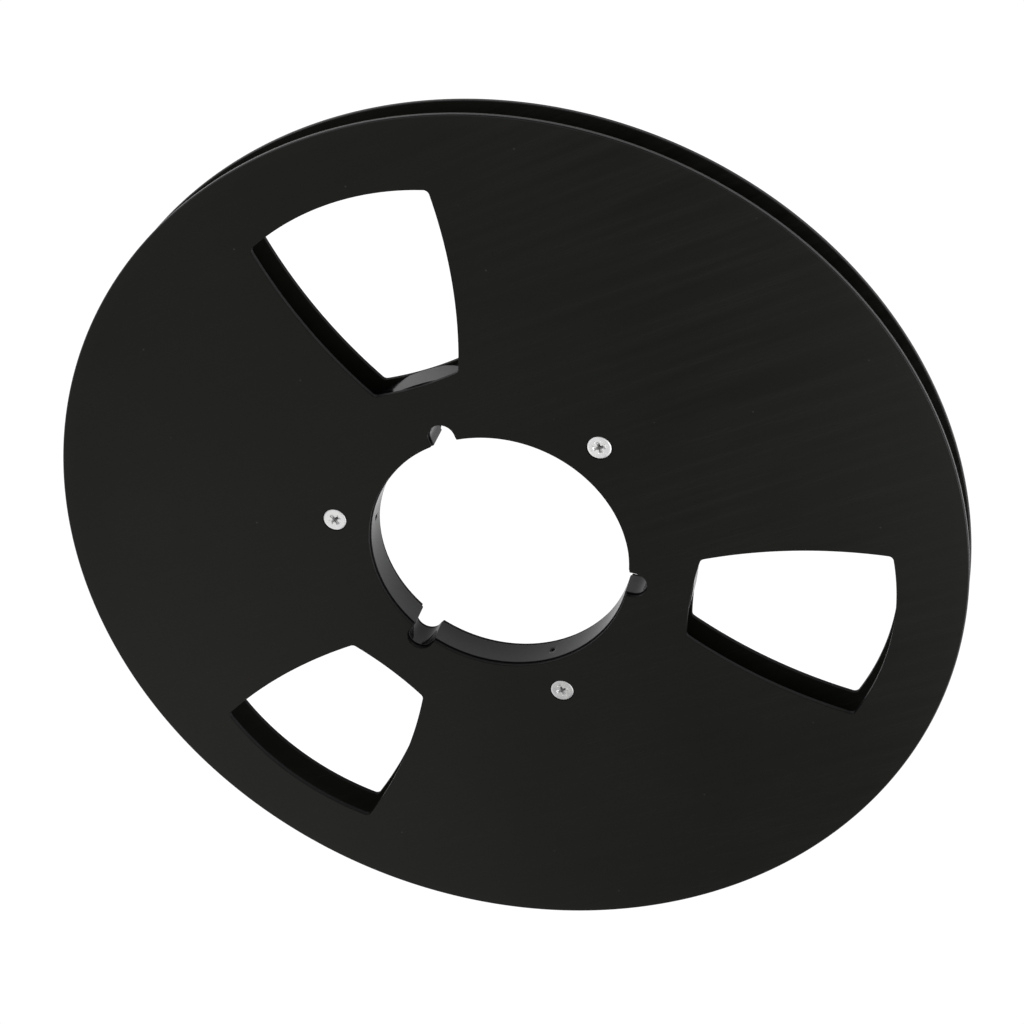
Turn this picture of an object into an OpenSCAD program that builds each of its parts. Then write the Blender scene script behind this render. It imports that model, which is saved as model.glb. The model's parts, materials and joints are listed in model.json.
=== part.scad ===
// Open tape reel with an aluminium hub ring between two windowed flanges.
// Units are millimetres. The reel lies on its rear flange: +Z is the spindle axis,
// and the origin is the centre of the rear flange's outer face.

/* [Flanges] */
// Outer diameter of each flange
flange_d = 266.7; // [262:0.1:270]
// Thickness of each flange
flange_t = 1.5; // [1.2:0.05:1.7]
// Radius that rounds the flange rims
rim_round = 0.4; // [0.2:0.05:0.5]
// Diameter of the centre hole in each flange
flange_bore_d = 77.2; // [76.8:0.1:78]
// Edge break at the mouth of the flange's centre hole
bore_break = 0.25; // [0.1:0.05:0.4]

/* [Windows] */
// Distance from the axis to the middle of the window's inner edge
window_in_u = 56.8; // [55:0.1:60]
// Radius of the inner edge, which bows towards the hub
window_in_r = 100; // [90:1:115]
// Distance from the axis to the middle of the window's outer edge
window_out_u = 114.3; // [108:0.1:120]
// Radius of the outer edge, which bows towards the rim
window_out_r = 78.5; // [70:0.5:90]
// Radius of the two long side edges
window_side_r = 145.7; // [140:0.1:160]
// Distance from the axis at which the side edges would be widest apart
window_side_u = 121.8; // [118:0.1:126]
// Half of that widest spread
window_half_w = 28.2; // [26:0.1:30]
// Fillet radius of the window's corners
window_fillet = 1.6; // [1:0.1:3]

/* [Hub] */
// Outer diameter of the hub, on which the tape winds
hub_d = 114.3; // [112:0.1:118]
// Width of the hub between the flanges
hub_w = 9; // [8:0.1:9.5]
// Diameter of the hub's bore
hub_bore_d = 76.4; // [76.3:0.05:76.8]
// Edge break at both ends of the hub's bore
hub_break = 0.2; // [0.1:0.05:0.3]
// Diameter of the shallow holes in the bore wall
dimple_d = 1.8; // [1:0.1:2.5]
// Depth of the shallow holes in the bore wall
dimple_deep = 1.5; // [0.5:0.1:2.5]

/* [Drive notches] */
// Distance from the axis to the bottom of each notch in the flanges
notch_tip_u = 44.2; // [43.6:0.1:45]
// Width of each notch in the flanges
notch_w = 8; // [7.6:0.1:8.6]
// How far the hub's own notches stand in from the flanges' notches
notch_step = 0.4; // [0.2:0.05:0.6]

/* [Screws] */
// Diameter of the circle the screws lie on
screw_pcd = 98; // [97:0.1:100]
// Head diameter
head_d = 6.86; // [6.4:0.02:7.2]
// Depth of the straight edge around the head
head_edge = 0.2; // [0.1:0.05:0.3]
// Outside diameter of the thread
thread_d = 3.5; // [3:0.1:3.6]
// Thread pitch
thread_pitch = 0.8; // [0.6:0.1:1]
// Length of each screw with its head
screw_len = 4.8; // [4:0.1:5]
// How far the heads sit below the flange face
head_sink = 0.06; // [0.02:0.01:0.1]
// Tip-to-tip span of the cross recess
recess_span = 3.2; // [2.8:0.1:3.8]
// Width of each arm of the cross recess
recess_arm = 0.8; // [0.6:0.05:1]
// Depth of the cross recess
recess_deep = 1.3; // [1:0.1:1.6]

/* [Hidden] */
$fn = 96;
eps = 0.01;
flange_r = flange_d / 2;
flange_bore_r = flange_bore_d / 2;
hub_r = hub_d / 2;
hub_bore_r = hub_bore_d / 2;
front_z = flange_t + hub_w;
total_w = 2 * flange_t + hub_w;

// Directions around the axis: a notch and a window share each one, and the screws lie between.
window_angles = [90, 210, 330];
screw_angles = [30, 150, 270];
// How far each screw's cross recess is turned.
front_turns = [55, 45, 4];
rear_turns = [20, 68, 37];

// The screw heads and their seats share one 90 degree cone.
head_r = head_d / 2;
seat_r = head_r + head_edge + head_sink;
seat_gap = 0.02;
thread_r = thread_d / 2;
thread_root_r = thread_r - 0.45 * thread_pitch;
tapped_r = thread_r + 0.03;
head_h = head_edge + head_r - thread_r;
tip_break = 0.3;
thread_turns = floor((screw_len - head_h - thread_r + thread_root_r - tip_break) / thread_pitch);

// Point where two circles, a and b, cross; side picks the crossing left (1) or right (-1) of a to b.
function crossing(a, ra, b, rb, side) =
    let (d = norm(b - a),
         along = (ra * ra - rb * rb + d * d) / (2 * d),
         across = sqrt(ra * ra - along * along),
         dir = (b - a) / d)
    a + dir * along + side * across * [-dir[1], dir[0]];

// Point at distance r from a on the line from a through p.
function reach(a, p, r) = a + (p - a) * r / norm(p - a);

// ---- Window outline, drawn along +X, with four bowed edges and filleted corners ----

in_c = [window_in_u + window_in_r, 0];
out_c = [window_out_u - window_out_r, 0];
side_c = [window_side_u, window_half_w - window_side_r];

// One corner between an edge (centre a, radius ra) and the upper side edge.
module corner_cut(a, ra, side) {
    c = crossing(a, ra - window_fillet, side_c, window_side_r - window_fillet, side);
    far = crossing(a, ra, side_c, window_side_r, side);
    polygon([c, reach(a, c, ra + 1), c + (far - c) * 4, reach(side_c, c, window_side_r + 1)]);
}

module corner_fillet(a, ra, side) {
    c = crossing(a, ra - window_fillet, side_c, window_side_r - window_fillet, side);
    translate(c)
        circle(window_fillet);
}

module window_outline() {
    difference() {
        intersection() {
            translate(in_c)
                circle(window_in_r);
            translate(out_c)
                circle(window_out_r);
            translate(side_c)
                circle(window_side_r);
            mirror([0, 1])
                translate(side_c)
                    circle(window_side_r);
        }
        for (flip = [0, 1]) {
            mirror([0, flip]) {
                corner_cut(in_c, window_in_r, -1);
                corner_cut(out_c, window_out_r, 1);
            }
        }
    }
    for (flip = [0, 1]) {
        mirror([0, flip]) {
            corner_fillet(in_c, window_in_r, -1);
            corner_fillet(out_c, window_out_r, 1);
        }
    }
}

// ---- Shared cuts ----

// U-shaped drive notch, open to the bore.
module notch_cut(half_w, tip_u, h) {
    linear_extrude(h)
        union() {
            translate([tip_u - half_w, 0])
                circle(half_w);
            translate([hub_bore_r - 6, -half_w])
                square([tip_u - half_w - hub_bore_r + 6, 2 * half_w]);
        }
}

// Conical seat and tapped hole for one screw, going down from z = 0.
module screw_seat(deep) {
    cone_h = seat_r - tapped_r;
    translate([0, 0, -cone_h])
        cylinder(h = cone_h, r1 = tapped_r, r2 = seat_r);
    translate([0, 0, -deep])
        cylinder(h = deep - cone_h + eps, r = tapped_r);
    cylinder(h = 1, r = seat_r);
}

// ---- Flange ----

module flange_section() {
    union() {
        translate([flange_bore_r, 0])
            square([flange_r - rim_round - flange_bore_r, flange_t]);
        translate([flange_r - 2 * rim_round, rim_round])
            square([2 * rim_round, flange_t - 2 * rim_round]);
        for (z = [rim_round, flange_t - rim_round]) {
            translate([flange_r - rim_round, z])
                circle(rim_round);
        }
    }
}

// A flange with its outer face up, at z = flange_t.
module flange() {
    difference() {
        rotate_extrude()
            flange_section();
        translate([0, 0, flange_t - bore_break])
            cylinder(h = bore_break + eps, r1 = flange_bore_r, r2 = flange_bore_r + bore_break + eps);
        for (a = window_angles) {
            rotate([0, 0, a]) {
                translate([0, 0, -1])
                    linear_extrude(flange_t + 2)
                        window_outline();
                translate([0, 0, -1])
                    notch_cut(notch_w / 2, notch_tip_u, flange_t + 2);
            }
        }
        for (a = screw_angles) {
            rotate([0, 0, a])
                translate([screw_pcd / 2, 0, flange_t])
                    screw_seat(flange_t + 1);
        }
    }
}

// The rear flange: the same plate turned over.
module rear_flange() {
    color([0.022, 0.022, 0.023])
        translate([0, 0, flange_t])
            mirror([0, 0, 1])
                flange();
}

// The front flange.
module front_flange() {
    color([0.022, 0.022, 0.023])
        translate([0, 0, front_z])
            flange();
}

// ---- Hub ----

module hub_section() {
    polygon([
        [hub_bore_r + hub_break, 0],
        [hub_r, 0],
        [hub_r, hub_w],
        [hub_bore_r + hub_break, hub_w],
        [hub_bore_r, hub_w - hub_break],
        [hub_bore_r, hub_break]
    ]);
}

module hub() {
    color([0.025, 0.025, 0.026])
        difference() {
            translate([0, 0, flange_t])
                rotate_extrude()
                    hub_section();
            for (a = window_angles) {
                rotate([0, 0, a])
                    translate([0, 0, flange_t - 1])
                        notch_cut(notch_w / 2 - notch_step, notch_tip_u - notch_step, hub_w + 2);
            }
            for (a = screw_angles) {
                rotate([0, 0, a]) {
                    translate([screw_pcd / 2, 0, total_w])
                        screw_seat(total_w / 2 + 1);
                    translate([screw_pcd / 2, 0, 0])
                        mirror([0, 0, 1])
                            screw_seat(total_w / 2 + 1);
                    translate([hub_bore_r - 1, 0, total_w / 2])
                        rotate([0, 90, 0])
                            cylinder(h = 1 + dimple_deep, r = dimple_d / 2);
                }
            }
        }
}

// ---- Screws ----

// Half section of a flat-head screw: r along X, with the top of the head at z = 0.
module screw_section() {
    thread_top = -head_h - thread_r + thread_root_r;
    ridges = [for (i = [0 : thread_turns - 1])
        each [
            [thread_root_r, thread_top - i * thread_pitch],
            [thread_r, thread_top - (i + 0.38) * thread_pitch],
            [thread_r, thread_top - (i + 0.5) * thread_pitch],
            [thread_root_r, thread_top - (i + 0.88) * thread_pitch]
        ]];
    polygon(concat(
        [
            [0, 0],
            [head_r, 0],
            [head_r, seat_gap - head_edge],
            [thread_r, seat_gap - head_h]
        ],
        ridges,
        [
            [thread_root_r, tip_break - screw_len],
            [thread_root_r - tip_break, -screw_len],
            [0, -screw_len]
        ]
    ));
}

// Tapered cross recess with its mouth at z = 0.
module cross_recess() {
    intersection() {
        translate([0, 0, -recess_deep])
            cylinder(h = recess_deep + eps, r1 = recess_span / 5, r2 = recess_span / 2);
        for (a = [0, 90]) {
            rotate([0, 0, a])
                translate([-recess_span, -recess_arm / 2, -recess_deep - 1])
                    cube([2 * recess_span, recess_arm, recess_deep + 2]);
        }
    }
    translate([0, 0, -recess_deep - 0.3])
        cylinder(h = recess_deep + 0.3 + eps, r1 = 0.15, r2 = recess_arm * 0.85);
}

// A screw pointing down, with its head's top at z = 0.
module screw(turn) {
    color([0.72, 0.73, 0.74])
        difference() {
            rotate_extrude()
                screw_section();
            rotate([0, 0, turn])
                cross_recess();
        }
}

module front_screw(i) {
    rotate([0, 0, screw_angles[i]])
        translate([screw_pcd / 2, 0, total_w - head_sink])
            screw(front_turns[i]);
}

module rear_screw(i) {
    rotate([0, 0, screw_angles[i]])
        translate([screw_pcd / 2, 0, head_sink])
            mirror([0, 0, 1])
                screw(rear_turns[i]);
}

rear_flange();
hub();
front_flange();
front_screw(0);  // front_screw_1
front_screw(1);  // front_screw_2
front_screw(2);  // front_screw_3
rear_screw(0);  // rear_screw_1
rear_screw(1);  // rear_screw_2
rear_screw(2);  // rear_screw_3
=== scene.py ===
import json
import math

import bmesh
import bpy
from mathutils import Matrix, Vector
from mathutils.geometry import delaunay_2d_cdt


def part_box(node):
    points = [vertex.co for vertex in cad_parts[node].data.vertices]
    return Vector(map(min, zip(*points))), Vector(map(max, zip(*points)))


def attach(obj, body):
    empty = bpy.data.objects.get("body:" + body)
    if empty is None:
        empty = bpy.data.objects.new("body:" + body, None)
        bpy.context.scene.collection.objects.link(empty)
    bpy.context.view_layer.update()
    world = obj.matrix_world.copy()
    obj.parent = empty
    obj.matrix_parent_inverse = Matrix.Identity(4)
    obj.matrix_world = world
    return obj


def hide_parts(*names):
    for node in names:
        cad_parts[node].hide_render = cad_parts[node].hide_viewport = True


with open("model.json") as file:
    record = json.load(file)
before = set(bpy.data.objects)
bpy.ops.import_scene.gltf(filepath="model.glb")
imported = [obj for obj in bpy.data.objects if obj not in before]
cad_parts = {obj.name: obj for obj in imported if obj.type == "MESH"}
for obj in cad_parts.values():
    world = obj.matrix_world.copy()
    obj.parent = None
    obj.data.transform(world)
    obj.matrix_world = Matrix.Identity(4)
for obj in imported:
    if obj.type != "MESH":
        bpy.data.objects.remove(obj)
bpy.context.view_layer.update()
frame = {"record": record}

# An open tape reel: two windowed flanges screwed to a hub ring. Shapes are drawn in millimetres,
# in the CAD frame (+Z along the spindle, origin at the centre of the rear flange's outer face).
MM = 0.001

# ---------------------------------------------------------------- sizes, in mm, as in the CAD
REAR_LOW, REAR_HIGH = (corner.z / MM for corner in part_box("rear_flange"))
FRONT_LOW, FRONT_HIGH = (corner.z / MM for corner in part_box("front_flange"))
FLANGE_R = -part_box("front_flange")[0].x / MM
HUB_R = -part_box("hub")[0].x / MM
MOUNTS = {mount["name"]: mount for mount in frame["record"]["mounts"]}
HUB_BORE_R = MOUNTS["hub_bore"]["dims"]["r_mm"]
FLANGE_BORE_R = 38.6
# How far the flanges' rims, the ends of the hub's bore and all other edges are rounded.
RIM_ROUND, BORE_ROUND, EDGE_ROUND = 0.4, 0.2, 0.14

# A window, drawn along +X, has four bowed edges. U is where the inner or outer arc crosses the
# centre line, or where a side arc is furthest from it, and R is the arc's radius.
WINDOW_IN_U, WINDOW_IN_R = 56.8, 100.0
WINDOW_OUT_U, WINDOW_OUT_R = 114.3, 78.5
WINDOW_SIDE_U, WINDOW_SIDE_R = 121.8, 145.7
WINDOW_HALF_W = 28.2
WINDOW_FILLET = 1.6
WINDOW_ANGLES = (90, 210, 330)

# A drive notch lies in line with each window. The hub's are smaller all round by the step.
NOTCH_TIP_U, NOTCH_HALF_W = 44.2, 4.0
NOTCH_STEP = 0.4
NOTCH_MOUTH_R = 0.35

# A screw's head has a short straight edge above its cone, and is sunk below the flange's face.
# The tapped holes are smooth, and just wider than the thread.
SCREW_CIRCLE_R, SCREW_LEN = 49.0, 4.8
HEAD_R, HEAD_EDGE, HEAD_SINK = 3.43, 0.2, 0.06
SEAT_R = HEAD_R + HEAD_EDGE + HEAD_SINK
SEAT_CLEARANCE = 0.02
THREAD_R, THREAD_PITCH = 1.75, 0.8
THREAD_DEPTH = 0.45 * THREAD_PITCH
TAPPED_R = THREAD_R + 0.03
SCREW_ANGLES = (30, 150, 270)
# How far each screw was turned when it was driven home, in degrees.
FRONT_TURNS, REAR_TURNS = (55, 45, 4), (20, 68, 37)
# One pair of arms of the cross recess, from above the head down: z, half length, half width.
RECESS_LEVELS = ((0.3, 1.9, 0.5), (0, 1.62, 0.46), (-0.5, 0.78, 0.38), (-1.3, 0.5, 0.25))
# The recess's faces lie within this distance of the middle of the head's top, sideways and down.
RECESS_REACH = 1.7

# The small blind holes in the hub's bore wall.
DIMPLE_R, DIMPLE_DEEP = 0.9, 1.5

# ---------------------------------------------------------------- looks
# Places in the lists of materials that the plates, the hub and the screws take.
PLATE_OUTER, PLATE_CUT_PAINTED_SHADE, PLATE_SEAT_PAINTED_SHADE, PLATE_RIM, PLATE_INNER_PAINTED_LIGHT = range(5)
HUB_BORE, HUB_RIM = range(2)
SCREW_HEAD, RECESS_WALL_PAINTED_SHADE, RECESS_ARM_PAINTED_LIGHT, RECESS_FLOOR_PAINTED_SHADE = range(4)

# The plates' black from dark to light, its dust, and how strongly it shines.
PLATE_DARK, PLATE_LIGHT = (0.0064, 0.0065, 0.0048), (0.0124, 0.0122, 0.0106)
PLATE_DUST = (0.05, 0.05, 0.045, 1)
PLATE_SPECULAR = 0.12
# The brushing runs this many degrees from +X, and shows on the side of the reel at this angle.
GRAIN_TURN, STREAKED_SIDE = 3, 15
# The middle of the round stain on a plate, in mm.
STAIN_CENTRE = (-102, 41)
# How bright each pair of screw heads is painted, as painted light for the light each head catches.
SCREW_PAINTED_LIGHT = (0.84, 0.72, 0.56)


# ---------------------------------------------------------------- outlines
def polar(radius, degrees):
    """The point at that radius and angle."""
    a = math.radians(degrees)
    return Vector((radius * math.cos(a), radius * math.sin(a)))


def circle(radius, count, centre=(0, 0)):
    """Points of a circle, counter-clockwise."""
    return [Vector(centre) + polar(radius, 360 * i / count) for i in range(count)]


def arc(centre, start, end, count):
    """Points of the shorter arc round centre from start to end, without the end point."""
    centre, start, end = Vector(centre), Vector(start), Vector(end)
    radius = (start - centre).length
    first = math.atan2(*(start - centre).yx)
    turn = (math.atan2(*(end - centre).yx) - first + math.pi) % (2 * math.pi) - math.pi
    angles = (first + turn * i / count for i in range(count))
    return [centre + radius * Vector((math.cos(a), math.sin(a))) for a in angles]


def line(start, end, count):
    """Points of a straight run, without its end point."""
    return [Vector(start).lerp(Vector(end), i / count) for i in range(count)]


def crossing(a, radius_a, b, radius_b, side):
    """Where two circles cross, to the left (1) or the right (-1) of the way from a to b."""
    a, b = Vector(a), Vector(b)
    gap = (b - a).length
    along = (radius_a ** 2 - radius_b ** 2 + gap ** 2) / (2 * gap)
    across = math.sqrt(radius_a ** 2 - along ** 2)
    ahead = (b - a) / gap
    return a + ahead * along + side * across * Vector((-ahead.y, ahead.x))


def reach(a, p, radius):
    """The point at that distance from a, on the way to p."""
    return Vector(a) + (Vector(p) - Vector(a)).normalized() * radius


def flip(p):
    """The point mirrored across the window's centre line."""
    return Vector((p[0], -p[1]))


def turned(points, degrees):
    """The points turned round the spindle."""
    turn = Matrix.Rotation(math.radians(degrees), 2)
    return [turn @ p for p in points]


def window_outline():
    """One window along +X, counter-clockwise: four bowed edges with filleted corners."""
    inner_c = (WINDOW_IN_U + WINDOW_IN_R, 0)
    outer_c = (WINDOW_OUT_U - WINDOW_OUT_R, 0)
    side_c = (WINDOW_SIDE_U, WINDOW_HALF_W - WINDOW_SIDE_R)
    small_side = WINDOW_SIDE_R - WINDOW_FILLET
    near = crossing(inner_c, WINDOW_IN_R - WINDOW_FILLET, side_c, small_side, -1)
    far = crossing(outer_c, WINDOW_OUT_R - WINDOW_FILLET, side_c, small_side, 1)
    inner_end, near_side = reach(inner_c, near, WINDOW_IN_R), reach(side_c, near, WINDOW_SIDE_R)
    outer_end, far_side = reach(outer_c, far, WINDOW_OUT_R), reach(side_c, far, WINDOW_SIDE_R)
    return (
        arc(outer_c, flip(outer_end), outer_end, 56)
        + arc(far, outer_end, far_side, 12)
        + arc(side_c, far_side, near_side, 56)
        + arc(near, near_side, inner_end, 12)
        + arc(inner_c, inner_end, flip(inner_end), 28)
        + arc(flip(near), flip(inner_end), flip(near_side), 12)
        + arc(flip(side_c), flip(near_side), flip(far_side), 56)
        + arc(flip(far), flip(far_side), flip(outer_end), 12)
    )


def bore_outline(bore_r, tip_u, half_w):
    """The centre hole with its three U-shaped notches, counter-clockwise."""
    mouth_v = half_w + NOTCH_MOUTH_R
    mouth = Vector((math.sqrt((bore_r + NOTCH_MOUTH_R) ** 2 - mouth_v ** 2), mouth_v))
    on_bore = reach((0, 0), mouth, bore_r)
    on_side = Vector((mouth.x, half_w))
    tip_c = Vector((tip_u - half_w, 0))
    tip_start = Vector((tip_c.x, -half_w))
    notch = (
        arc(flip(mouth), flip(on_bore), flip(on_side), 6)
        + line(flip(on_side), tip_start, 4)
        + arc(tip_c, tip_start, (tip_u, 0), 12)
        + arc(tip_c, (tip_u, 0), flip(tip_start), 12)
        + line(flip(tip_start), on_side, 4)
        + arc(mouth, on_side, on_bore, 6)
    )
    points = []
    for angle in WINDOW_ANGLES:
        start, end = turned([on_bore], angle)[0], turned([flip(on_bore)], angle + 120)[0]
        points += turned(notch, angle)
        points += arc((0, 0), start, end, 84)
    return points


# ---------------------------------------------------------------- mesh building
def new_object(name, bm):
    """An object in the scene made from bm, which is in mm. Its faces are shaded smooth."""
    bmesh.ops.recalc_face_normals(bm, faces=bm.faces)
    bmesh.ops.scale(bm, vec=(MM, MM, MM), verts=bm.verts)
    for face in bm.faces:
        face.smooth = True
    mesh = bpy.data.meshes.new(name)
    bm.to_mesh(mesh)
    bm.free()
    obj = bpy.data.objects.new(name, mesh)
    bpy.context.scene.collection.objects.link(obj)
    return obj


def keep_flats_flat(obj):
    """Lets large faces set the shading normals, so that rounded edges stay narrow."""
    weighted = obj.modifiers.new("flat_faces", "WEIGHTED_NORMAL")
    weighted.weight = 100
    weighted.keep_sharp = True


def rounded_wall(low, high, radius, steps=4):
    """A wall's section from top to bottom, as (outward, z) steps with both edges rounded."""
    quarter = [math.pi / 2 * i / steps for i in range(steps + 1)]
    top = [(radius * (math.sin(a) - 1), high - radius * (1 - math.cos(a))) for a in quarter]
    bottom = [(radius * (math.cos(a) - 1), low + radius * (1 - math.sin(a))) for a in quarter]
    return top + bottom


def outward(points, is_hole):
    """Unit directions in which each point of an outline leaves the material."""
    directions = []
    for i, p in enumerate(points):
        before = (p - points[i - 1]).normalized()
        after = (points[(i + 1) % len(points)] - p).normalized()
        tangent = (before + after).normalized()
        direction = Vector((tangent.y, -tangent.x))
        directions.append(-direction if is_hole else direction)
    return directions


def plate(name, outlines):
    """A flat plate with holes. Each outline is (points, wall section, is_hole), the rim's first."""
    bm = bmesh.new()
    top, bottom = [], []
    for points, wall, is_hole in outlines:
        directions = outward(points, is_hole)
        rows = [
            [bm.verts.new((*(p + d * out), z)) for p, d in zip(points, directions)]
            for out, z in wall
        ]
        count = len(points)
        for upper, lower in zip(rows, rows[1:]):
            for i in range(count):
                j = (i + 1) % count
                bm.faces.new((upper[i], lower[i], lower[j], upper[j]))
        top.append(rows[0])
        bottom.append(rows[-1])
    fill(bm, top)
    fill(bm, bottom)
    return new_object(name, bm)


def fill(bm, loops):
    """Fills the flat region inside the first loop and outside the others with triangles."""
    verts, outlines = [], []
    for loop in loops:
        outlines.append(range(len(verts), len(verts) + len(loop)))
        verts += loop
    inside_with_holes, tolerance = 2, 1e-6
    points = [v.co.xy for v in verts]
    triangles = delaunay_2d_cdt(points, [], outlines, inside_with_holes, tolerance)[2]
    for triangle in triangles:
        bm.faces.new([verts[i] for i in triangle])


def cut(obj, cutter):
    """Cuts the cutter out of obj and deletes it."""
    boolean = obj.modifiers.new("cut", "BOOLEAN")
    boolean.object = cutter
    boolean.solver = "EXACT"
    evaluated = obj.evaluated_get(bpy.context.evaluated_depsgraph_get())
    mesh = bpy.data.meshes.new_from_object(evaluated)
    obj.modifiers.clear()
    obj.data = mesh
    bpy.data.objects.remove(cutter)


def weld(mesh):
    """Closes up the slivers that cutting leaves, and splits its larger faces into triangles."""
    sliver = 0.004 * MM
    bm = bmesh.new()
    bm.from_mesh(mesh)
    bmesh.ops.remove_doubles(bm, verts=bm.verts, dist=sliver)
    bmesh.ops.dissolve_degenerate(bm, edges=bm.edges, dist=sliver)
    bmesh.ops.triangulate(bm, faces=[face for face in bm.faces if len(face.verts) > 4])
    bmesh.ops.dissolve_degenerate(bm, edges=bm.edges, dist=sliver)
    bm.to_mesh(mesh)
    bm.free()


# ---------------------------------------------------------------- flanges
def plate_material(face, seats, inner_z):
    """Which of the plate's materials a face takes, from its slope and place."""
    middle = face.center.xy / MM
    slope = abs(face.normal.z)
    upright, steep, flat = 0.1, 0.8, 0.995
    clear_of_rim = 5
    # Faces inside the gap between the flanges take a lighter copy of the plate's black: painted
    # light.
    if slope > flat and abs(face.center.z / MM - inner_z) < EDGE_ROUND / 2:
        return PLATE_INNER_PAINTED_LIGHT
    if upright < slope < flat and middle.length > FLANGE_R - RIM_ROUND:
        return PLATE_RIM
    # Cut walls and countersinks away from the rim take a darker black: painted shade in those
    # crevices.
    if slope < steep and middle.length < FLANGE_R - clear_of_rim:
        is_seat = min((middle - seat).length for seat in seats) < SEAT_R
        return PLATE_SEAT_PAINTED_SHADE if is_seat else PLATE_CUT_PAINTED_SHADE
    return PLATE_OUTER


def make_flange(name, low, high, seat_up):
    """One flange. seat_up says that the screws go in from its upper face."""
    rim = (circle(FLANGE_R, 720), rounded_wall(low, high, RIM_ROUND, steps=6), False)
    edge = rounded_wall(low, high, EDGE_ROUND)
    holes = [(bore_outline(FLANGE_BORE_R, NOTCH_TIP_U, NOTCH_HALF_W), edge, True)]
    holes += [(turned(window_outline(), a), edge, True) for a in WINDOW_ANGLES]
    # A screw's seat is a 45 degree cone, eased at its ends: it comes in by as much as it goes down.
    thick = high - low
    cone = [(-0.05, high), (-0.01, high - 0.02), (thick - 0.03, low + 0.03), (thick, low)]
    if not seat_up:
        cone = [(out, low + high - z) for out, z in reversed(cone)]
    seats = [polar(SCREW_CIRCLE_R, angle) for angle in SCREW_ANGLES]
    holes += [(circle(SEAT_R, 64, seat), cone, True) for seat in seats]
    obj = plate(name, [rim] + holes)
    for face in obj.data.polygons:
        face.material_index = plate_material(face, seats, low if seat_up else high)
    keep_flats_flat(obj)
    return obj


# ---------------------------------------------------------------- hub
def make_hub(name):
    """The ring between the flanges, with tapped holes and three small blind holes in its bore."""
    low, high = REAR_HIGH, FRONT_LOW
    mid = (low + high) / 2
    rim = (circle(HUB_R, 256), rounded_wall(low, high, EDGE_ROUND), False)
    bore = bore_outline(HUB_BORE_R, NOTCH_TIP_U - NOTCH_STEP, NOTCH_HALF_W - NOTCH_STEP)
    wall = rounded_wall(low, high, BORE_ROUND)
    # Rows of points along the bore's wall keep the faces that the small holes cut short.
    half, row_gap = len(wall) // 2, 2
    rows_between = [(0, mid + row_gap), (0, mid), (0, mid - row_gap)]
    holes = [(bore, wall[:half] + rows_between + wall[half:], True)]
    # The seats' cones run on a little way into the tapped holes.
    cone = SEAT_R - (FRONT_HIGH - FRONT_LOW) - TAPPED_R
    tapped = [(-cone, high), (0, high - cone), (0, low + cone), (-cone, low)]
    for angle in SCREW_ANGLES:
        holes.append((circle(TAPPED_R, 48, polar(SCREW_CIRCLE_R, angle)), tapped, True))
    obj = plate(name, [rim] + holes)
    for angle in SCREW_ANGLES:
        bm = bmesh.new()
        bmesh.ops.create_cone(
            bm, cap_ends=True, segments=40, radius1=DIMPLE_R, radius2=DIMPLE_R,
            depth=2 * DIMPLE_DEEP,
            matrix=Matrix.Rotation(math.radians(angle), 4, "Z")
            @ Matrix.Translation((HUB_BORE_R, 0, mid))
            @ Matrix.Rotation(math.radians(90), 4, "Y"),
        )
        cut(obj, new_object("dimple_cutter", bm))
    for face in obj.data.polygons:
        is_rim = face.center.xy.length / MM > HUB_R - 2 * EDGE_ROUND
        face.material_index = HUB_RIM if is_rim else HUB_BORE
    keep_flats_flat(obj)
    return obj


# ---------------------------------------------------------------- screws
def thread_radius(angle, z, top, bottom):
    """Radius of the screw's shank: one helical ridge that fades out at both ends."""
    half_width, steepness, fade_length = 0.42, 1.35, 0.5
    turn = (z / THREAD_PITCH + angle / (2 * math.pi)) % 1
    ridge = max(0.0, 1 - abs(turn - 0.5) / half_width)
    fade = max(0, min(1, (top - z) / fade_length, (z - bottom) / fade_length))
    return THREAD_R - THREAD_DEPTH + THREAD_DEPTH * min(1, steepness * ridge) * fade


def screw_body():
    """Closed mesh of a flat-head screw pointing down, with the head's top at z = 0."""
    around, levels = 64, 72
    ease, corner, part_way, tip = 0.07, 0.02, 0.5, 0.3
    edge_low = SEAT_CLEARANCE - HEAD_EDGE
    head_low = edge_low - (HEAD_R - THREAD_R)
    shank_low = -SCREW_LEN + tip
    head = [(HEAD_R * share, 0) for share in (0.3, 0.6, 0.85)]
    head += [(HEAD_R - ease, 0), (HEAD_R - corner, -corner), (HEAD_R, -ease), (HEAD_R, edge_low)]
    head += [(HEAD_R - part_way, edge_low - part_way), (THREAD_R, head_low)]
    rings = [[(r, z)] * around for r, z in head]
    for k in range(1, levels + 1):
        z = head_low + (shank_low - head_low) * k / levels
        rings.append([
            (thread_radius(2 * math.pi * i / around, z, head_low, shank_low), z)
            for i in range(around)
        ])
    rings.append([(THREAD_R - THREAD_DEPTH - tip, -SCREW_LEN)] * around)
    bm = bmesh.new()
    rows = []
    for ring in rings:
        row = []
        for i, (r, z) in enumerate(ring):
            a = 2 * math.pi * i / around
            row.append(bm.verts.new((r * math.cos(a), r * math.sin(a), z)))
        rows.append(row)
    for upper, lower in zip(rows, rows[1:]):
        for i in range(around):
            j = (i + 1) % around
            bm.faces.new((upper[i], lower[i], lower[j], upper[j]))
    for row, z in ((rows[0], 0), (rows[-1], -SCREW_LEN)):
        middle = bm.verts.new((0, 0, z))
        for i in range(around):
            bm.faces.new((row[i], row[(i + 1) % around], middle))
    return new_object("screw_body", bm)


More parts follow.
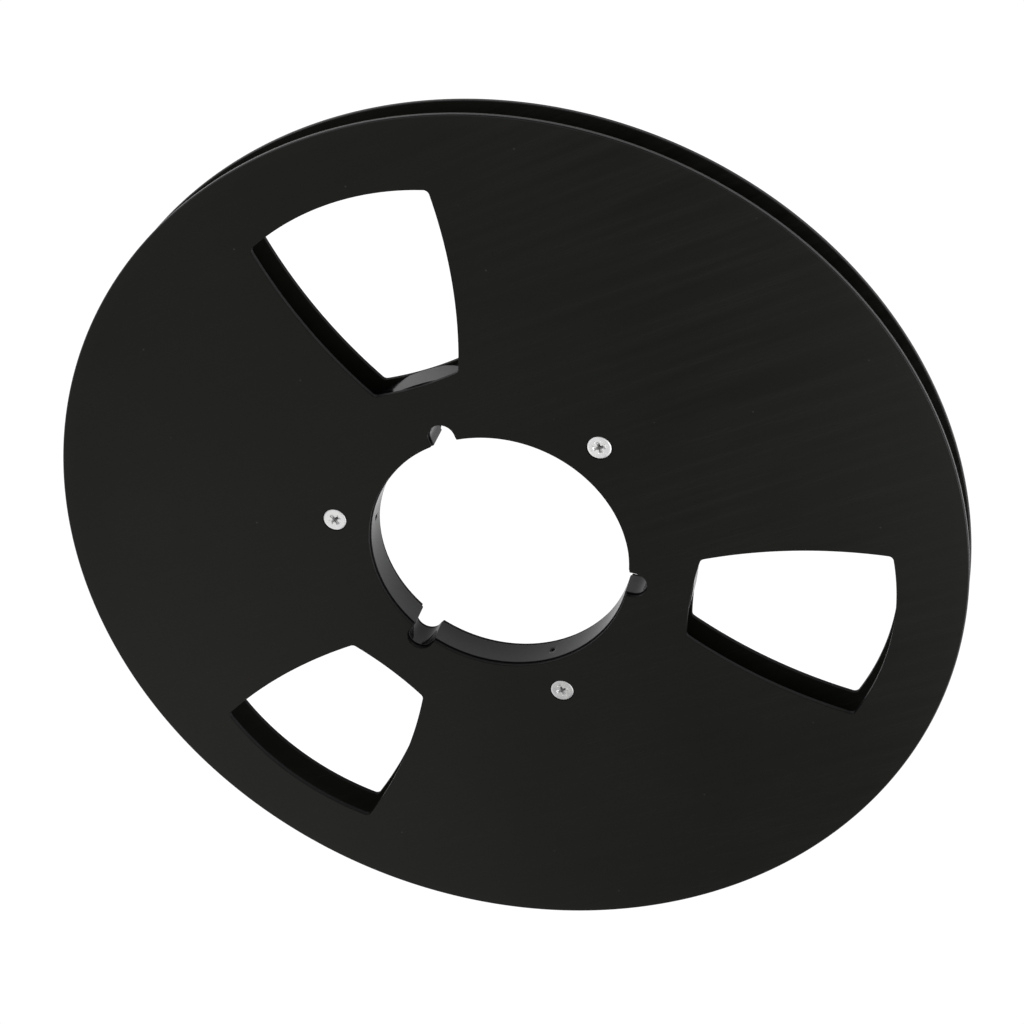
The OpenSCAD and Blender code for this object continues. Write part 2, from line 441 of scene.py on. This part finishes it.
def recess_arm(turn):
    """Cutter for one pair of arms of the cross recess, tapering inwards as it goes down."""
    bm = bmesh.new()
    corners = ((1, 1), (-1, 1), (-1, -1), (1, -1))
    rows = []
    for z, half_l, half_w in RECESS_LEVELS:
        rows.append([bm.verts.new((x * half_l, y * half_w, z)) for x, y in corners])
    for upper, lower in zip(rows, rows[1:]):
        for i in range(4):
            j = (i + 1) % 4
            bm.faces.new((upper[i], lower[i], lower[j], upper[j]))
    bm.faces.new(rows[0])
    bm.faces.new(rows[-1])
    bmesh.ops.rotate(bm, verts=bm.verts, matrix=Matrix.Rotation(math.radians(turn), 3, "Z"))
    return new_object("recess_cutter", bm)


def screw_material(face):
    """Which of the screw's materials a face takes, from its place and slope. In the recess it
    paints light and shade: up-facing arms lighter, steep walls darker, the deep pit darkest.
    """
    middle = face.center / MM
    from_axis = middle.xy.length
    under_top, deep, pit_r, gentle_slope = -0.03, -0.9, 0.3, 0.6
    if not (-RECESS_REACH < middle.z < under_top and from_axis < RECESS_REACH):
        return SCREW_HEAD
    if middle.z < deep or from_axis < pit_r:
        return RECESS_FLOOR_PAINTED_SHADE
    return RECESS_ARM_PAINTED_LIGHT if face.normal.z > gentle_slope else RECESS_WALL_PAINTED_SHADE


def make_screw_mesh():
    """The finished screw's mesh, which each of the six screws copies."""
    body = screw_body()
    cut(body, recess_arm(0))
    cut(body, recess_arm(90))
    # The pit where the arms meet narrows almost to a point.
    pit_low, pit_high, tip_r, mouth_r = -1.65, 0.15, 0.08, 0.6
    bm = bmesh.new()
    bmesh.ops.create_cone(
        bm, cap_ends=True, segments=24, radius1=tip_r, radius2=mouth_r, depth=pit_high - pit_low,
        matrix=Matrix.Translation((0, 0, (pit_low + pit_high) / 2)),
    )
    cut(body, new_object("recess_cutter", bm))
    mesh = body.data
    bpy.data.objects.remove(body)
    weld(mesh)
    for face in mesh.polygons:
        face.material_index = screw_material(face)
    return mesh


def make_screw(name, mesh, angle, turn, is_front):
    """One screw, moved into place in its own copy of the mesh."""
    top = FRONT_HIGH - HEAD_SINK if is_front else REAR_LOW + HEAD_SINK
    place = (
        Matrix.Rotation(math.radians(angle), 4, "Z")
        @ Matrix.Translation((SCREW_CIRCLE_R * MM, 0, top * MM))
        @ Matrix.Rotation(0 if is_front else math.pi, 4, "X")
        @ Matrix.Rotation(math.radians(turn), 4, "Z")
    )
    obj = bpy.data.objects.new(name, mesh.copy())
    obj.data.transform(place)
    bpy.context.scene.collection.objects.link(obj)
    keep_flats_flat(obj)
    return obj


# ---------------------------------------------------------------- materials
def material(name):
    """A new material, as (material, links, function that adds a node, its Principled shader)."""
    made = bpy.data.materials.new(name)
    made.use_nodes = True
    tree = made.node_tree
    shader = next(n for n in tree.nodes if n.type == "BSDF_PRINCIPLED")
    return made, tree.links, tree.nodes.new, shader


def stretched_noise(links, add, scale, turn=0, detail=3, rough=0.55):
    """Noise in object space, with a scale for each axis, in cycles per metre, turned about Z."""
    place = add("ShaderNodeTexCoord")
    stretch = add("ShaderNodeMapping")
    stretch.vector_type = "TEXTURE"
    stretch.inputs["Rotation"].default_value = (0, 0, math.radians(turn))
    stretch.inputs["Scale"].default_value = [1 / s for s in scale]
    noise = add("ShaderNodeTexNoise")
    noise.inputs["Scale"].default_value = 1
    noise.inputs["Detail"].default_value = detail
    noise.inputs["Roughness"].default_value = rough
    links.new(place.outputs["Object"], stretch.inputs["Vector"])
    links.new(stretch.outputs["Vector"], noise.inputs["Vector"])
    return noise.outputs["Fac"]


def remap(links, add, value, low, high, from_low=0.25, from_high=0.75):
    """A value brought into low to high, and kept within it. Noise mostly is 0.25 to 0.75."""
    node = add("ShaderNodeMapRange")
    node.inputs["From Min"].default_value = from_low
    node.inputs["From Max"].default_value = from_high
    node.inputs["To Min"].default_value = low
    node.inputs["To Max"].default_value = high
    links.new(value, node.inputs["Value"])
    return node.outputs["Result"]


def combined(links, add, operation, *values):
    """Several values added together ("ADD") or multiplied ("MULTIPLY")."""
    total = values[0]
    for value in values[1:]:
        node = add("ShaderNodeMath")
        node.operation = operation
        links.new(total, node.inputs[0])
        links.new(value, node.inputs[1])
        total = node.outputs["Value"]
    return total


def add_values(links, add, *values):
    """The sum of several values."""
    return combined(links, add, "ADD", *values)


def colours(links, add, value, dark, light, from_low=0.3, from_high=0.7):
    """A colour ramp between two colours."""
    ramp = add("ShaderNodeValToRGB")
    ramp.color_ramp.elements[0].position = from_low
    ramp.color_ramp.elements[1].position = from_high
    ramp.color_ramp.elements[0].color = (*dark, 1)
    ramp.color_ramp.elements[1].color = (*light, 1)
    links.new(value, ramp.inputs["Fac"])
    return ramp.outputs["Color"]


def bump(links, add, height, depth_m):
    """A normal from a height field of that depth."""
    node = add("ShaderNodeBump")
    node.inputs["Strength"].default_value = 1
    node.inputs["Distance"].default_value = depth_m
    links.new(height, node.inputs["Height"])
    return node.outputs["Normal"]


def radius_from(links, add, centre=(0, 0)):
    """Distance in metres from the upright line through centre, which is in mm."""
    place = add("ShaderNodeTexCoord")
    flat = add("ShaderNodeVectorMath")
    flat.operation = "MULTIPLY"
    flat.inputs[1].default_value = (1, 1, 0)
    distance = add("ShaderNodeVectorMath")
    distance.operation = "DISTANCE"
    distance.inputs[1].default_value = (centre[0] * MM, centre[1] * MM, 0)
    links.new(place.outputs["Object"], flat.inputs[0])
    links.new(flat.outputs["Vector"], distance.inputs[0])
    return distance.outputs["Value"]


def specks(links, add, per_metre, size, share):
    """1 inside small spots scattered over the surface, 0 between them."""
    place = add("ShaderNodeTexCoord")
    cells = add("ShaderNodeTexVoronoi")
    cells.inputs["Scale"].default_value = per_metre
    links.new(place.outputs["Object"], cells.inputs["Vector"])
    distance = cells.outputs["Distance"]
    spot = remap(links, add, distance, 1, 0, from_low=size * 0.6, from_high=size)
    split = add("ShaderNodeSeparateColor")
    links.new(cells.outputs["Color"], split.inputs["Color"])
    chosen = remap(links, add, split.outputs[0], 1, 0, from_low=share * 0.9, from_high=share)
    return combined(links, add, "MULTIPLY", spot, chosen)


def brushed_black(name, lightness):
    """Black anodised plate: brushing that fades to one side, mottled sheen, a stain, specks, and a
    painted sheen along the rim.
    """
    made, links, add, shader = material(name)
    bands = stretched_noise(links, add, (16, 400, 400), GRAIN_TURN, detail=3, rough=0.5)
    hairs = stretched_noise(links, add, (160, 4200, 4200), GRAIN_TURN, detail=2)
    clouds = stretched_noise(links, add, (22, 22, 22), detail=4)
    place, across = add("ShaderNodeTexCoord"), add("ShaderNodeVectorMath")
    across.operation = "DOT_PRODUCT"
    across.inputs[1].default_value = (*polar(1, STREAKED_SIDE), 0)
    links.new(place.outputs["Object"], across.inputs[0])
    strength = remap(links, add, across.outputs["Value"], 0.15, 1, from_low=0.03, from_high=0.10)
    from_stain, from_spindle = radius_from(links, add, STAIN_CENTRE), radius_from(links, add)
    # Each of these changes the shade, which is 0 at the plate's darkest and 1 at its lightest.
    mottle = remap(links, add, clouds, 0.22, 0.62)
    streaks = combined(links, add, "MULTIPLY", remap(links, add, bands, -0.52, 0.52), strength)
    stain = remap(links, add, from_stain, 0.15, 0, from_low=0.010, from_high=0.0125)
    # Painted sheen: the outermost 4 mm of the plate is painted lighter, standing in for the rim's
    # highlight.
    rim = remap(links, add, from_spindle, 0, 0.3, from_low=0.129, from_high=0.133)
    dust = specks(links, add, per_metre=150, size=0.045, share=0.3)
    shade = add_values(links, add, mottle, streaks, stain, rim, dust, dust)
    dark = [lightness * level for level in PLATE_DARK]
    light = [lightness * level for level in PLATE_LIGHT]
    grey = colours(links, add, shade, dark, light, from_low=0, from_high=1)
    spotted = add("ShaderNodeMix")
    spotted.data_type = "RGBA"
    spotted.inputs[7].default_value = PLATE_DUST
    links.new(dust, spotted.inputs[0])
    links.new(grey, spotted.inputs[6])
    links.new(spotted.outputs[2], shader.inputs["Base Color"])
    rough = add_values(
        links, add,
        remap(links, add, clouds, 0.23, 0.27),
        remap(links, add, hairs, -0.03, 0.03),
        remap(links, add, streaks, -0.02, 0.02, from_low=-0.2, from_high=0.2),
    )
    links.new(rough, shader.inputs["Roughness"])
    links.new(bump(links, add, hairs, 1.4e-6), shader.inputs["Normal"])
    shader.inputs["Specular IOR Level"].default_value = PLATE_SPECULAR
    return made


def cut_black(name, specular, roughness):
    """A matt black, darker than the plates', with fine chatter. On cut walls and countersinks its
    darkness is painted shade.
    """
    made, links, add, shader = material(name)
    chatter = stretched_noise(links, add, (2500, 2500, 2500), detail=2)
    base = colours(links, add, chatter, (0.0014, 0.0014, 0.0012), (0.0034, 0.0034, 0.0030))
    links.new(base, shader.inputs["Base Color"])
    rough = remap(links, add, chatter, roughness - 0.08, roughness + 0.08)
    links.new(rough, shader.inputs["Roughness"])
    links.new(bump(links, add, chatter, 3e-6), shader.inputs["Normal"])
    shader.inputs["Specular IOR Level"].default_value = specular
    return made


def turned_black(name, specular):
    """Black anodised ring with fine turning lines round the spindle."""
    made, links, add, shader = material(name)
    lines = stretched_noise(links, add, (30, 30, 5200), detail=3)
    clouds = stretched_noise(links, add, (60, 60, 60), detail=3)
    base = colours(links, add, clouds, (0.0038, 0.0040, 0.0040), (0.0075, 0.0078, 0.0078))
    links.new(base, shader.inputs["Base Color"])
    rough = add_values(
        links, add,
        remap(links, add, lines, 0.11, 0.18),
        remap(links, add, clouds, -0.03, 0.03),
    )
    links.new(rough, shader.inputs["Roughness"])
    links.new(bump(links, add, lines, 1.2e-6), shader.inputs["Normal"])
    shader.inputs["Specular IOR Level"].default_value = specular
    return made


def bare_metal(name, dark, light, roughness):
    """Metal between two shades of grey, with slight clouding and handling marks."""
    made, links, add, shader = material(name)
    clouds = stretched_noise(links, add, (700, 700, 700), detail=4)
    marks = stretched_noise(links, add, (900, 6000, 6000), turn=35, detail=2)
    greys = colours(links, add, clouds, (dark, dark, dark), (light, light, 0.99 * light))
    links.new(greys, shader.inputs["Base Color"])
    rough = add_values(
        links, add,
        remap(links, add, clouds, roughness - 0.05, roughness + 0.05),
        remap(links, add, marks, -0.03, 0.03),
    )
    links.new(rough, shader.inputs["Roughness"])
    links.new(bump(links, add, marks, 0.8e-6), shader.inputs["Normal"])
    shader.inputs["Metallic"].default_value = 1
    return made


# ---------------------------------------------------------------- assembly
def finish_piece(obj, finishes, node):
    """Gives a piece its materials, attaches it to the root body and hides the CAD node it stands
    for.
    """
    for finish in finishes:
        obj.data.materials.append(finish)
    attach(obj, "root")
    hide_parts(node)


plate_finish = [
    brushed_black("brushed_black_outer", lightness=1),
    # Cut walls and countersinks get a darker black than the plates: painted shade in those
    # crevices.
    cut_black("cut_black_edge_painted_shade", specular=0.10, roughness=0.45),
    cut_black("cut_black_countersink_painted_shade", specular=0.04, roughness=0.7),
    cut_black("polished_black_rim", specular=0.6, roughness=0.2),
    # The faces inside the gap between the flanges are painted 2.2 times lighter: painted light in
    # that shaded gap.
    brushed_black("brushed_black_inner_painted_light", lightness=2.2),
]
hub_finish = [
    turned_black("turned_black_bore", specular=0.32),
    turned_black("turned_black_rim", specular=0.62),
]
# The recess is painted in light and shade: arms lighter, walls darker, the pit darkest.
recess_painted_shading = [
    bare_metal("recess_wall_zinc_painted_shade", dark=0.42, light=0.62, roughness=0.42),
    bare_metal("recess_arm_zinc_painted_light", dark=0.62, light=0.85, roughness=0.35),
    bare_metal("recess_floor_zinc_painted_shade", dark=0.06, light=0.16, roughness=0.5),
]

rear_flange = make_flange("reel_rear_flange", REAR_LOW, REAR_HIGH, seat_up=False)
front_flange = make_flange("reel_front_flange", FRONT_LOW, FRONT_HIGH, seat_up=True)
finish_piece(rear_flange, plate_finish, "rear_flange")
finish_piece(front_flange, plate_finish, "front_flange")
finish_piece(make_hub("reel_hub"), hub_finish, "hub")
screw_mesh = make_screw_mesh()
for i, angle in enumerate(SCREW_ANGLES):
    # Each pair of heads is painted its own brightness: painted light for the light each head
    # catches.
    shade = SCREW_PAINTED_LIGHT[i]
    head_finish = bare_metal(f"head_zinc_painted_light_{i + 1}", shade - 0.05, shade + 0.05, roughness=0.26)
    for side, turns in (("front", FRONT_TURNS), ("rear", REAR_TURNS)):
        name = f"{side}_screw_{i + 1}"
        screw = make_screw(f"reel_{name}", screw_mesh, angle, turns[i], side == "front")
        finish_piece(screw, [head_finish] + recess_painted_shading, name)


# ---------------------------------------------------------------- floor, light and camera
# How bright the table looks, how white its paper is, and how much it glows.
FLOOR_SEEN, FLOOR_PAPER, FLOOR_GLOW = 1.05, 1.35, 0.4
# How bright the room is near the horizon and overhead, and the heights between which it changes,
# as the sine of the elevation.
STUDIO_HORIZON, STUDIO_TOP = 1.3, 0.29
STUDIO_LOW, STUDIO_HIGH = 0.15, 0.55
# The unlit side of the room: azimuth, elevation, half width in degrees, and what light is left.
STUDIO_DARK_SIDE = (66, 10, 55, 0.15)
# Each broad light: azimuth, elevation, half width in degrees, and strength.
STUDIO_LIGHTS = (
    (200, 64, 18, 0.75),
    (219, 43, 16, 1.05),
    (266, 62, 15, 2.35),
    (297, 32, 20, 1.5),
    (125, 35, 18, 1.2),
)
# Where the camera is and the point on the front face that it looks at, in mm, its roll in degrees
# and its focal length in mm on a 36 mm sensor.
CAMERA_AT = (239.7, 252.7, 510.3)
CAMERA_AIM = (10.1, 12.3, FRONT_HIGH)
CAMERA_ROLL = -156.32
CAMERA_LENS, CAMERA_SENSOR = 74.04, 36


def make_floor():
    """A wide white table under the reel, overexposed to plain white. Clear from below."""
    bm = bmesh.new()
    bmesh.ops.create_circle(bm, cap_ends=True, segments=96, radius=6000)
    floor = new_object("floor", bm)
    just_below = -0.05 * MM
    floor.location.z = just_below
    made = bpy.data.materials.new("white_table")
    made.use_nodes = True
    nodes, links = made.node_tree.nodes, made.node_tree.links
    nodes.clear()
    paper = nodes.new("ShaderNodeBsdfDiffuse")
    paper.inputs["Color"].default_value = (FLOOR_PAPER, FLOOR_PAPER, FLOOR_PAPER, 1)
    glow = nodes.new("ShaderNodeEmission")
    glow.inputs["Strength"].default_value = FLOOR_GLOW
    lit = nodes.new("ShaderNodeAddShader")
    white = nodes.new("ShaderNodeEmission")
    white.inputs["Strength"].default_value = FLOOR_SEEN
    clear = nodes.new("ShaderNodeBsdfTransparent")
    path = nodes.new("ShaderNodeLightPath")
    side = nodes.new("ShaderNodeNewGeometry")
    seen = nodes.new("ShaderNodeMixShader")
    mix = nodes.new("ShaderNodeMixShader")
    out = nodes.new("ShaderNodeOutputMaterial")
    links.new(path.outputs["Is Camera Ray"], seen.inputs["Fac"])
    links.new(paper.outputs[0], lit.inputs[0])
    links.new(glow.outputs[0], lit.inputs[1])
    links.new(lit.outputs[0], seen.inputs[1])
    links.new(white.outputs[0], seen.inputs[2])
    links.new(side.outputs["Backfacing"], mix.inputs["Fac"])
    links.new(seen.outputs[0], mix.inputs[1])
    links.new(clear.outputs[0], mix.inputs[2])
    links.new(mix.outputs[0], out.inputs["Surface"])
    floor.data.materials.append(made)


def make_studio():
    """A soft studio: white along the horizon, dark on one side, with broad lights overhead."""
    world = bpy.data.worlds.new("studio")
    bpy.context.scene.world = world
    world.use_nodes = True
    nodes, links = world.node_tree.nodes, world.node_tree.links
    place = nodes.new("ShaderNodeTexCoord")
    split = nodes.new("ShaderNodeSeparateXYZ")
    links.new(place.outputs["Generated"], split.inputs["Vector"])

    def lobe(azimuth, elevation, spread, outside, centre):
        """A value that goes from outside to centre round that direction."""
        a, e = math.radians(azimuth), math.radians(elevation)
        near = nodes.new("ShaderNodeVectorMath")
        near.operation = "DOT_PRODUCT"
        level = math.cos(e)
        near.inputs[1].default_value = (level * math.cos(a), level * math.sin(a), math.sin(e))
        links.new(place.outputs["Generated"], near.inputs[0])
        edge = math.cos(math.radians(spread))
        closeness = near.outputs["Value"]
        return remap(links, nodes.new, closeness, outside, centre, from_low=edge, from_high=1)

    height = split.outputs["Z"]
    sky = remap(links, nodes.new, height, STUDIO_HORIZON, STUDIO_TOP, STUDIO_LOW, STUDIO_HIGH)
    *dark_place, left_over = STUDIO_DARK_SIDE
    dark_side = lobe(*dark_place, outside=1, centre=left_over)
    total = combined(links, nodes.new, "MULTIPLY", sky, dark_side)
    for *light_place, strength in STUDIO_LIGHTS:
        total = add_values(links, nodes.new, total, lobe(*light_place, outside=0, centre=strength))
    links.new(total, nodes["Background"].inputs["Color"])


def make_camera():
    """The camera, aimed at a point on the front flange's face."""
    at, aim = Vector(CAMERA_AT) * MM, Vector(CAMERA_AIM) * MM
    camera = bpy.data.objects.new("camera", bpy.data.cameras.new("camera"))
    camera.data.sensor_width = CAMERA_SENSOR
    camera.data.lens = CAMERA_LENS
    camera.data.clip_start, camera.data.clip_end = 0.01, 20
    level = (aim - at).to_track_quat("-Z", "Y").to_matrix().to_4x4()
    roll = Matrix.Rotation(math.radians(CAMERA_ROLL), 4, "Z")
    camera.matrix_world = Matrix.Translation(at) @ level @ roll
    bpy.context.scene.collection.objects.link(camera)
    bpy.context.scene.camera = camera


make_floor()
make_studio()
make_camera()
bpy.context.scene.view_settings.view_transform = "Standard"
